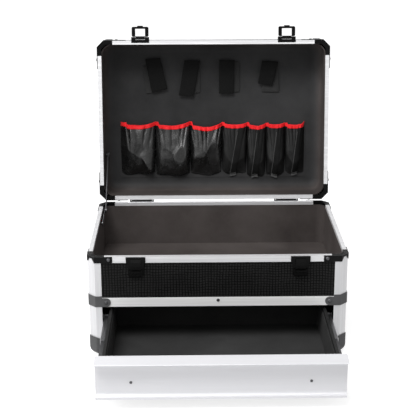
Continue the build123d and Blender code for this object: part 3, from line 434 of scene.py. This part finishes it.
def thicken(ob, wall, offset, bevel=0.0):
    s = ob.modifiers.new("wall", "SOLIDIFY")
    s.thickness = wall
    s.offset = offset
    if bevel:
        b = ob.modifiers.new("edge", "BEVEL")
        b.width = bevel
        b.segments = 2
        b.limit_method = "ANGLE"


def interp(points, t):
    """The value at t between (t, value) points, eased in and out of each."""
    for (a, x), (b, y) in zip(points, points[1:]):
        if t <= b:
            k = (t - a) / (b - a)
            k = k * k * (3 - 2 * k)
            return x + (y - x) * k
    return points[-1][1]


def flat_size(ob, verts, rows, columns):
    """A sheet's width and length laid flat: its middle row's length, and its area over that.

    Both are measured on the shaped sheet, so they are no independent record of how it was cut.
    """
    start = rows // 2 * (columns + 1)
    line = verts[start:start + columns + 1]
    width = sum((b - a).length for a, b in zip(line, line[1:]))
    return width, sum(p.area for p in ob.data.polygons) / width


class Pouch:
    """A gathered pouch on the lid's back: its front sheet as a function of across and up.

    Millimetres on the lid: u0 and u1 are the sides, foot the lower edge, top0 and top1 the ends of
    the mouth line and sag its droop, bulge and mouth the cloth's height over the back at the keel
    and at the mouth, tail the rise of the mouth's right end. Shares of the width or height: tab is
    the flat left end of the mouth, keel the line of the keel crease. pleats counts the gathers.
    """

    # Planes that make the creases, and the ranges of their two slopes and their offset
    PLANES, SLOPES = 6, (1.7, 1.3, 0.25)
    # Cells of the sheet's grid across and up, and of the tape along the mouth
    ACROSS, UPWARD, TAPE_ALONG = 72, 56, 84
    # Where the mouth's tail starts, how soon the mouth drops behind its tab, and its lowest point
    TAIL_FROM, TAIL_LONG, STEP, LOWEST, BEYOND = 0.9, 0.1, 0.035, 0.42, 0.58
    # Depth of the gathers, creases and fine unevenness as shares of the bulge, and the limits of
    # the height: the least in millimetres, the most as a share of the bulge
    GATHER, CREASE, UNEVEN, LEAST, MOST = 0.25, 0.27, 0.05, 0.5, 1.12
    # The tape: its height, its distance from the sheet on both sides, in millimetres, and the
    # levels at which it follows the sheet outside and inside, as shares of its height
    TAPE_TALL, TAPE_LIFT = 7.4, 1.0
    TAPE_OUTSIDE, TAPE_INSIDE = (1, 0.8, 0.6, 0.4, 0.2, 0), (0, 0.5, 1)
    # Height of the tape's fold over the mouth, and of its small waves, in metres
    TAPE_CROWN, TAPE_WOBBLE = 0.0007, 0.0004

    def __init__(
        self, u0, u1, foot, top0, top1, sag, tab, keel, bulge, mouth, pleats, seed, tail=0
    ):
        self.u0, self.u1, self.foot = u0, u1, foot
        self.top0, self.top1, self.sag, self.tab, self.tail = top0, top1, sag, tab, tail
        self.keel, self.bulge, self.mouth, self.pleats, self.seed = keel, bulge, mouth, pleats, seed
        draw = random.Random(seed)

        def planes():
            return [
                tuple(draw.uniform(-most, most) for most in self.SLOPES)
                for _ in range(self.PLANES)
            ]

        self.crests, self.valleys = planes(), planes()

    def mouth_v(self, s):
        """The mouth line: a flat tab at its left end, a step down, then a slack curve."""
        line = self.top0 + (self.top1 - self.top0) * s
        if s > self.TAIL_FROM:
            line += self.tail * (s - self.TAIL_FROM) / self.TAIL_LONG
        x = (s - self.tab) / (1 - self.tab)
        if x <= 0:
            return line
        if x < self.LOWEST:
            slack = 0.72 + 0.28 * x / self.LOWEST
        else:
            slack = 1 - ((x - self.LOWEST) / self.BEYOND) ** 2
        return line - self.sag * min(1.0, x / self.STEP) * slack

    def side(self, s):
        """The share of the height that is left near the two side seams."""
        return max(0.0, 1 - abs(2 * s - 1) ** 3.4) ** 0.6

    def crumple(self, s, t):
        """Flat facets that meet at straight creases, both ridges and valleys."""
        x, y = 2 * s - 1, 2 * t - 1
        up = max(a * x + b * y + c for a, b, c in self.crests)
        down = max(a * x + b * y + c for a, b, c in self.valleys)
        return up - down

    def belly(self, s, t):
        """The belly's height: a flat underside up to the keel crease, then a fall to the mouth."""
        k = interp(self.keel, s)
        if t < k:
            return self.bulge * (0.1 + 0.9 * (max(0.0, t) / k) ** 0.75)
        return self.bulge + (self.mouth - self.bulge) * ((t - k) / (1 - k)) ** 1.4

    def gathers(self, s, t):
        """Folds that fan out from the mouth and fade down the sheet, tucked in under the tape."""
        fade = max(0.0, (t - 0.45) / 0.55) ** 1.2
        waver = 0.035 * math.sin(9 * s + self.seed) + 0.02 * math.sin(19 * s + 3 * self.seed)
        lean = 0.5 + (s - 0.46) * (1 + 1.3 * (1 - t)) + waver
        tuck = 1 if t < 0.93 else max(0.25, (1 - t) / 0.07)
        fold = abs(math.sin(math.pi * self.pleats * lean)) ** 0.8
        uneven = 0.75 + 0.45 * math.sin(13 * s + 5 * self.seed)
        return self.GATHER * self.bulge * uneven * (fold - 0.6) * fade * self.side(s) * tuck

    def point(self, s, t, lift=0.0):
        """A point of the sheet: s across and t up, both 0 to 1, raised by lift millimetres."""
        low = self.foot + 5.0 * abs(2 * s - 1) ** 5 + 1.5 * math.sin(9 * s + 2 * self.seed)
        v = low + (self.mouth_v(s) - low) * t
        width = self.u1 - self.u0
        mid = (self.u0 + self.u1) / 2
        pinch = 1 - 0.035 * (1 - t) ** 2 + 0.02 * math.sin(math.pi * t)
        u = mid + (self.u0 + width * s - mid) * pinch
        middle = math.sin(math.pi * min(1, max(0, t))) ** 0.5
        h = self.belly(s, t) * self.side(s)
        h += self.gathers(s, t)
        h += self.CREASE * self.bulge * self.crumple(s, t) * middle * self.side(s)
        where = Vector((u * 0.09 + self.seed * 7, v * 0.06, self.seed * 3.1))
        h += self.UNEVEN * self.bulge * noise.noise(where) * middle
        h = min(max(h, self.LEAST), self.MOST * self.bulge) + lift
        return lid_point(u, v, BACK_FACE - h)

    def sheet(self, name, mat):
        nx, nz = self.ACROSS, self.UPWARD
        verts = [self.point(i / nx, j / nz) for j in range(nz + 1) for i in range(nx + 1)]
        ob = mesh_object(name, verts, grid_faces(nz, nx), mat)
        self.flat = flat_size(ob, verts, nz, nx)
        thicken(ob, POUCH_WALL, offset=-1.0)
        return ob

    def tape(self, name, mat):
        """The tape folded over the mouth, swept along it as a thin closed band."""
        nx = self.TAPE_ALONG
        tall, lift = self.TAPE_TALL, self.TAPE_LIFT
        span = max(1.0, self.mouth_v(0.5) - self.foot)
        rings = []
        for i in range(nx + 1):
            s = i / nx
            outer = [self.point(s, 1.0 - f * tall / span, lift) for f in self.TAPE_OUTSIDE]
            inner = [self.point(s, 1.0 - f * tall / span, -lift) for f in self.TAPE_INSIDE]
            crown = (outer[-1] + inner[0]) / 2 + UP * self.TAPE_CROWN
            wave = noise.noise(Vector((s * 9 + self.seed * 5, 0, 0)))
            wobble = UP * (self.TAPE_WOBBLE * wave)
            rings.append([p + wobble for p in (*outer, crown, *inner)])
        verts = [p for r in rings for p in r]
        k = len(rings[0])
        faces = []
        for i in range(nx):
            for j in range(k):
                a, b = i * k + j, i * k + (j + 1) % k
                faces.append((a, b, b + k, a + k))
        faces.append(tuple(range(k)))
        faces.append(tuple(reversed(range(nx * k, nx * k + k))))
        return mesh_object(name, verts, faces, mat)


LARGE_COUNT = 3
LARGE = dict(bulge=23, mouth=14)
SMALL = dict(bulge=12, mouth=9, keel=((0, 0.42), (0.5, 0.22), (1, 0.36)))
KEEL_1 = ((0, 0.6), (0.1, 0.57), (0.56, 0.37), (0.9, 0.09), (1, 0.08))
KEEL_2 = ((0, 0.52), (0.3, 0.56), (0.62, 0.44), (1, 0.5))
KEEL_3 = ((0, 0.3), (0.38, 0.38), (0.7, 0.68), (1, 0.6))
pouches = [
    Pouch(-189.0, -118.2, 41.0, 148.3, 148.5, 6.0, 0.17, KEEL_1, pleats=4, seed=11, **LARGE),
    Pouch(-117.8, -47.2, 37.5, 148.6, 149.5, 8.0, 0.08, KEEL_2, pleats=4, seed=12, **LARGE),
    Pouch(-46.8, 17.8, 39.5, 149.0, 146.5, 10.0, 0.06, KEEL_3, pleats=5, seed=3, **LARGE),
    Pouch(18.2, 68.8, 41.0, 147.0, 145.5, 4.2, 0.1, pleats=5, seed=4, **SMALL),
    Pouch(69.2, 107.8, 36.0, 146.5, 144.5, 6.0, 0.12, pleats=4, seed=5, **SMALL),
    Pouch(108.2, 146.8, 37.0, 145.2, 145.4, 3.2, 0.14, pleats=4, seed=6, **SMALL),
    Pouch(147.2, 187.0, 41.0, 145.0, 145.2, 4.0, 0.12, pleats=5, seed=7, tail=3.0, **SMALL),
]
for i, p in enumerate(pouches):
    big = i < LARGE_COUNT
    bag = p.sheet(f"pouch_{i + 1}", nylon if big else mesh_cloth)
    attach(bag, "lid")
    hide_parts("large_pockets" if big else "small_pockets")
    tape = p.tape(f"pouch_tape_{i + 1}", red)
    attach(tape, "lid")
    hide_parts("large_pocket_binding" if big else "small_pocket_binding")
    p.bag, p.trim = bag, [tape]


def band(name, pouch, top, foot, wide, mat, lift, t0, t1):
    """A flat strip down a small pouch, wide and lift in millimetres.

    top and foot are its middle as shares of the pouch's width, at the mouth and at the foot, and
    t0 and t1 its two ends as shares of the height.
    """
    nz, nx = 30, 6
    verts = []
    for j in range(nz + 1):
        t = t0 + (t1 - t0) * j / nz
        middle = foot + (top - foot) * t
        for i in range(nx + 1):
            s = middle + (i / nx - 0.5) * wide / (pouch.u1 - pouch.u0)
            verts.append(pouch.point(min(0.98, max(0.02, s)), t, lift))
    ob = mesh_object(name, verts, grid_faces(nz, nx), mat)
    thicken(ob, BAND_WALL, offset=0.0, bevel=EDGE_BEVEL)
    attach(ob, "lid")
    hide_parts("small_pockets")
    pouch.trim.append(ob)


# Elastic bands: share of the pouch's width at the mouth and at the foot, width in millimetres
BANDS = ((0.80, 0.44, 13), (0.76, 0.42, 14), (0.78, 0.45, 13), (0.82, 0.50, 12))
# Lift of the bands, lift of the foot tabs and the painted edge highlights, and width of the
# highlights, in millimetres
BAND_LIFT, TAB_AND_HIGHLIGHT_LIFT, HIGHLIGHT_WIDE = 1.0, 1.4, 1.1
for i, (pouch, (top, foot, wide)) in enumerate(zip(pouches[LARGE_COUNT:], BANDS)):
    band(f"band_{i + 1}", pouch, top, foot, wide, elastic, BAND_LIFT, 0.03, 0.93)
    # Painted highlight: a strip of light grey cloth along each band's left edge, where its raised
    # edge faces the light from the left
    edge = 0.5 * wide / (pouch.u1 - pouch.u0)
    band(
        f"band_edge_highlight_{i + 1}", pouch, top - edge, foot - edge, HIGHLIGHT_WIDE, tab_cloth_and_highlight, TAB_AND_HIGHLIGHT_LIFT,
        0.04, 0.86,
    )
    band(f"band_foot_{i + 1}", pouch, foot, foot, wide, tab_cloth_and_highlight, TAB_AND_HIGHLIGHT_LIFT, -0.035, 0.025)


def strap(name, corners, deeps, mat, bow):
    """A short webbing strap from its four corners (u, v) and its depth at top and bottom.

    bow is how far its middle stands off, in millimetres.
    """
    nx, nz = 10, 26
    verts = []
    tl, tr, br, bl = [Vector((*c, 0)) for c in corners]
    for j in range(nz + 1):
        t = j / nz
        left, right = tl.lerp(bl, t), tr.lerp(br, t)
        for i in range(nx + 1):
            s = i / nx
            p = left.lerp(right, s)
            arch = bow * math.sin(math.pi * t) + 0.25 * math.sin(math.pi * s)
            deep = deeps[0] + (deeps[1] - deeps[0]) * t - arch
            verts.append(lid_point(p.x, p.y, deep))
    ob = mesh_object(name, verts, grid_faces(nz, nx, turned=True), mat)
    thicken(ob, STRAP_WALL, offset=0.0, bevel=EDGE_BEVEL)
    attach(ob, "lid")
    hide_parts("webbing_loops")


# Corners of each loop's front and back strap on the lid, in millimetres, clockwise from top left
FRONT_STRAPS = (
    ((-137, 276), (-106.5, 278.5), (-92.5, 216.5), (-124.5, 209.5)),
    ((-57.5, 273.2), (-25.5, 273.2), (-40.5, 200.5), (-69.5, 202.5)),
    ((13.2, 273.8), (44, 273.7), (41.5, 206), (12.2, 206.2)),
    ((100, 272.1), (133, 269.6), (120.5, 221.6), (91.5, 226)),
)
BACK_STRAPS = (
    ((-142, 262), (-112, 264), (-106, 210), (-136, 206.5)),
    ((-54, 269.5), (-25.2, 269.5), (-26.2, 208), (-55, 206)),
    ((26, 271.5), (54.5, 270), (54, 209), (25, 208)),
    ((104, 268.8), (133.5, 268.8), (135, 208), (99.5, 209)),
)
# Their depths from the mouth at top and bottom, in millimetres
FRONT_DEEP, BACK_DEEP = (72.6, 70.8), (76.6, 76.4)
for i, (front, back) in enumerate(zip(FRONT_STRAPS, BACK_STRAPS)):
    strap(f"loop_front_{i + 1}", front, FRONT_DEEP, webbing, bow=1.6)
    strap(f"loop_back_{i + 1}", back, BACK_DEEP, loop_back, bow=0.2)

# Stage, light and camera
WORLD_LIGHT = 0.38
FLOOR_GREY = 0.62
FLOOR_LIFT = 0.78
# Name, place, size and power of the two softboxes, in metres and watts, and what they point at
LIGHTS = (
    ("key", (-0.7, -1.4, 2.5), (1.4, 1.0), 60),
    ("left", (-2.2, -0.6, 1.2), (1.2, 1.4), 21),
)
LIGHT_TARGET = (0, 0.0, 0.2)
# The camera fitted to the photo: metres, degrees, and the focal length in the photo's pixels
CAMERA_PLACE = (-0.04835, -1.97645, 0.86761)
CAMERA_TURN = (72.038, 0.088, -0.998)
FOCAL_PIXELS, PHOTO_PIXELS = 1118.09, 416.0
SENSOR = 36.0


def background_share(nt):
    """1 for rays that should see the white background, 0 for rays that only light."""
    path = nt.nodes.new("ShaderNodeLightPath")
    seen = combine(nt, path.outputs["Is Camera Ray"], path.outputs["Is Glossy Ray"], kind="MAXIMUM")
    return combine(nt, seen, path.outputs["Is Transmission Ray"], kind="MAXIMUM")


floor_me = bpy.data.meshes.new("floor")
floor_me.from_pydata([(-6, -4, 0), (6, -4, 0), (6, 6, 0), (-6, 6, 0)], [], [(0, 1, 2, 3)])
floor = bpy.data.objects.new("floor", floor_me)
bpy.context.scene.collection.objects.link(floor)
floor_mat, nt, bsdf = material("floor")
bsdf.inputs["Base Color"].default_value = (*grey(FLOOR_GREY), 1)
bsdf.inputs["Roughness"].default_value = 0.9
bsdf.inputs["Emission Color"].default_value = (1, 1, 1, 1)
lift = combine(nt, background_share(nt), FLOOR_LIFT, kind="MULTIPLY")
nt.links.new(lift, bsdf.inputs["Emission Strength"])
floor.data.materials.append(floor_mat)

world = bpy.data.worlds.new("studio")
bpy.context.scene.world = world
world.use_nodes = True
sky = world.node_tree
background = sky.nodes["Background"]
background.inputs["Color"].default_value = (1, 1, 1, 1)
gain = combine(sky, background_share(sky), 1 - WORLD_LIGHT, kind="MULTIPLY")
sky.links.new(combine(sky, gain, WORLD_LIGHT), background.inputs["Strength"])


def softbox(name, place, size, power):
    """A rectangular area light that points at the case."""
    d = bpy.data.lights.new(name, "AREA")
    d.shape = "RECTANGLE"
    d.size, d.size_y = size
    d.energy = power
    o = bpy.data.objects.new(name, d)
    bpy.context.scene.collection.objects.link(o)
    o.location = place
    aim = Vector(LIGHT_TARGET) - Vector(place)
    o.rotation_euler = aim.to_track_quat("-Z", "Y").to_euler()


for light in LIGHTS:
    softbox(*light)

cam_data = bpy.data.cameras.new("camera")
cam = bpy.data.objects.new("camera", cam_data)
bpy.context.scene.collection.objects.link(cam)
cam.location = CAMERA_PLACE
cam.rotation_euler = tuple(math.radians(turn) for turn in CAMERA_TURN)
cam_data.sensor_width = SENSOR
cam_data.lens = FOCAL_PIXELS / PHOTO_PIXELS * SENSOR
bpy.context.scene.camera = cam
bpy.context.scene.view_settings.view_transform = "Standard"

bpy.context.view_layer.update()
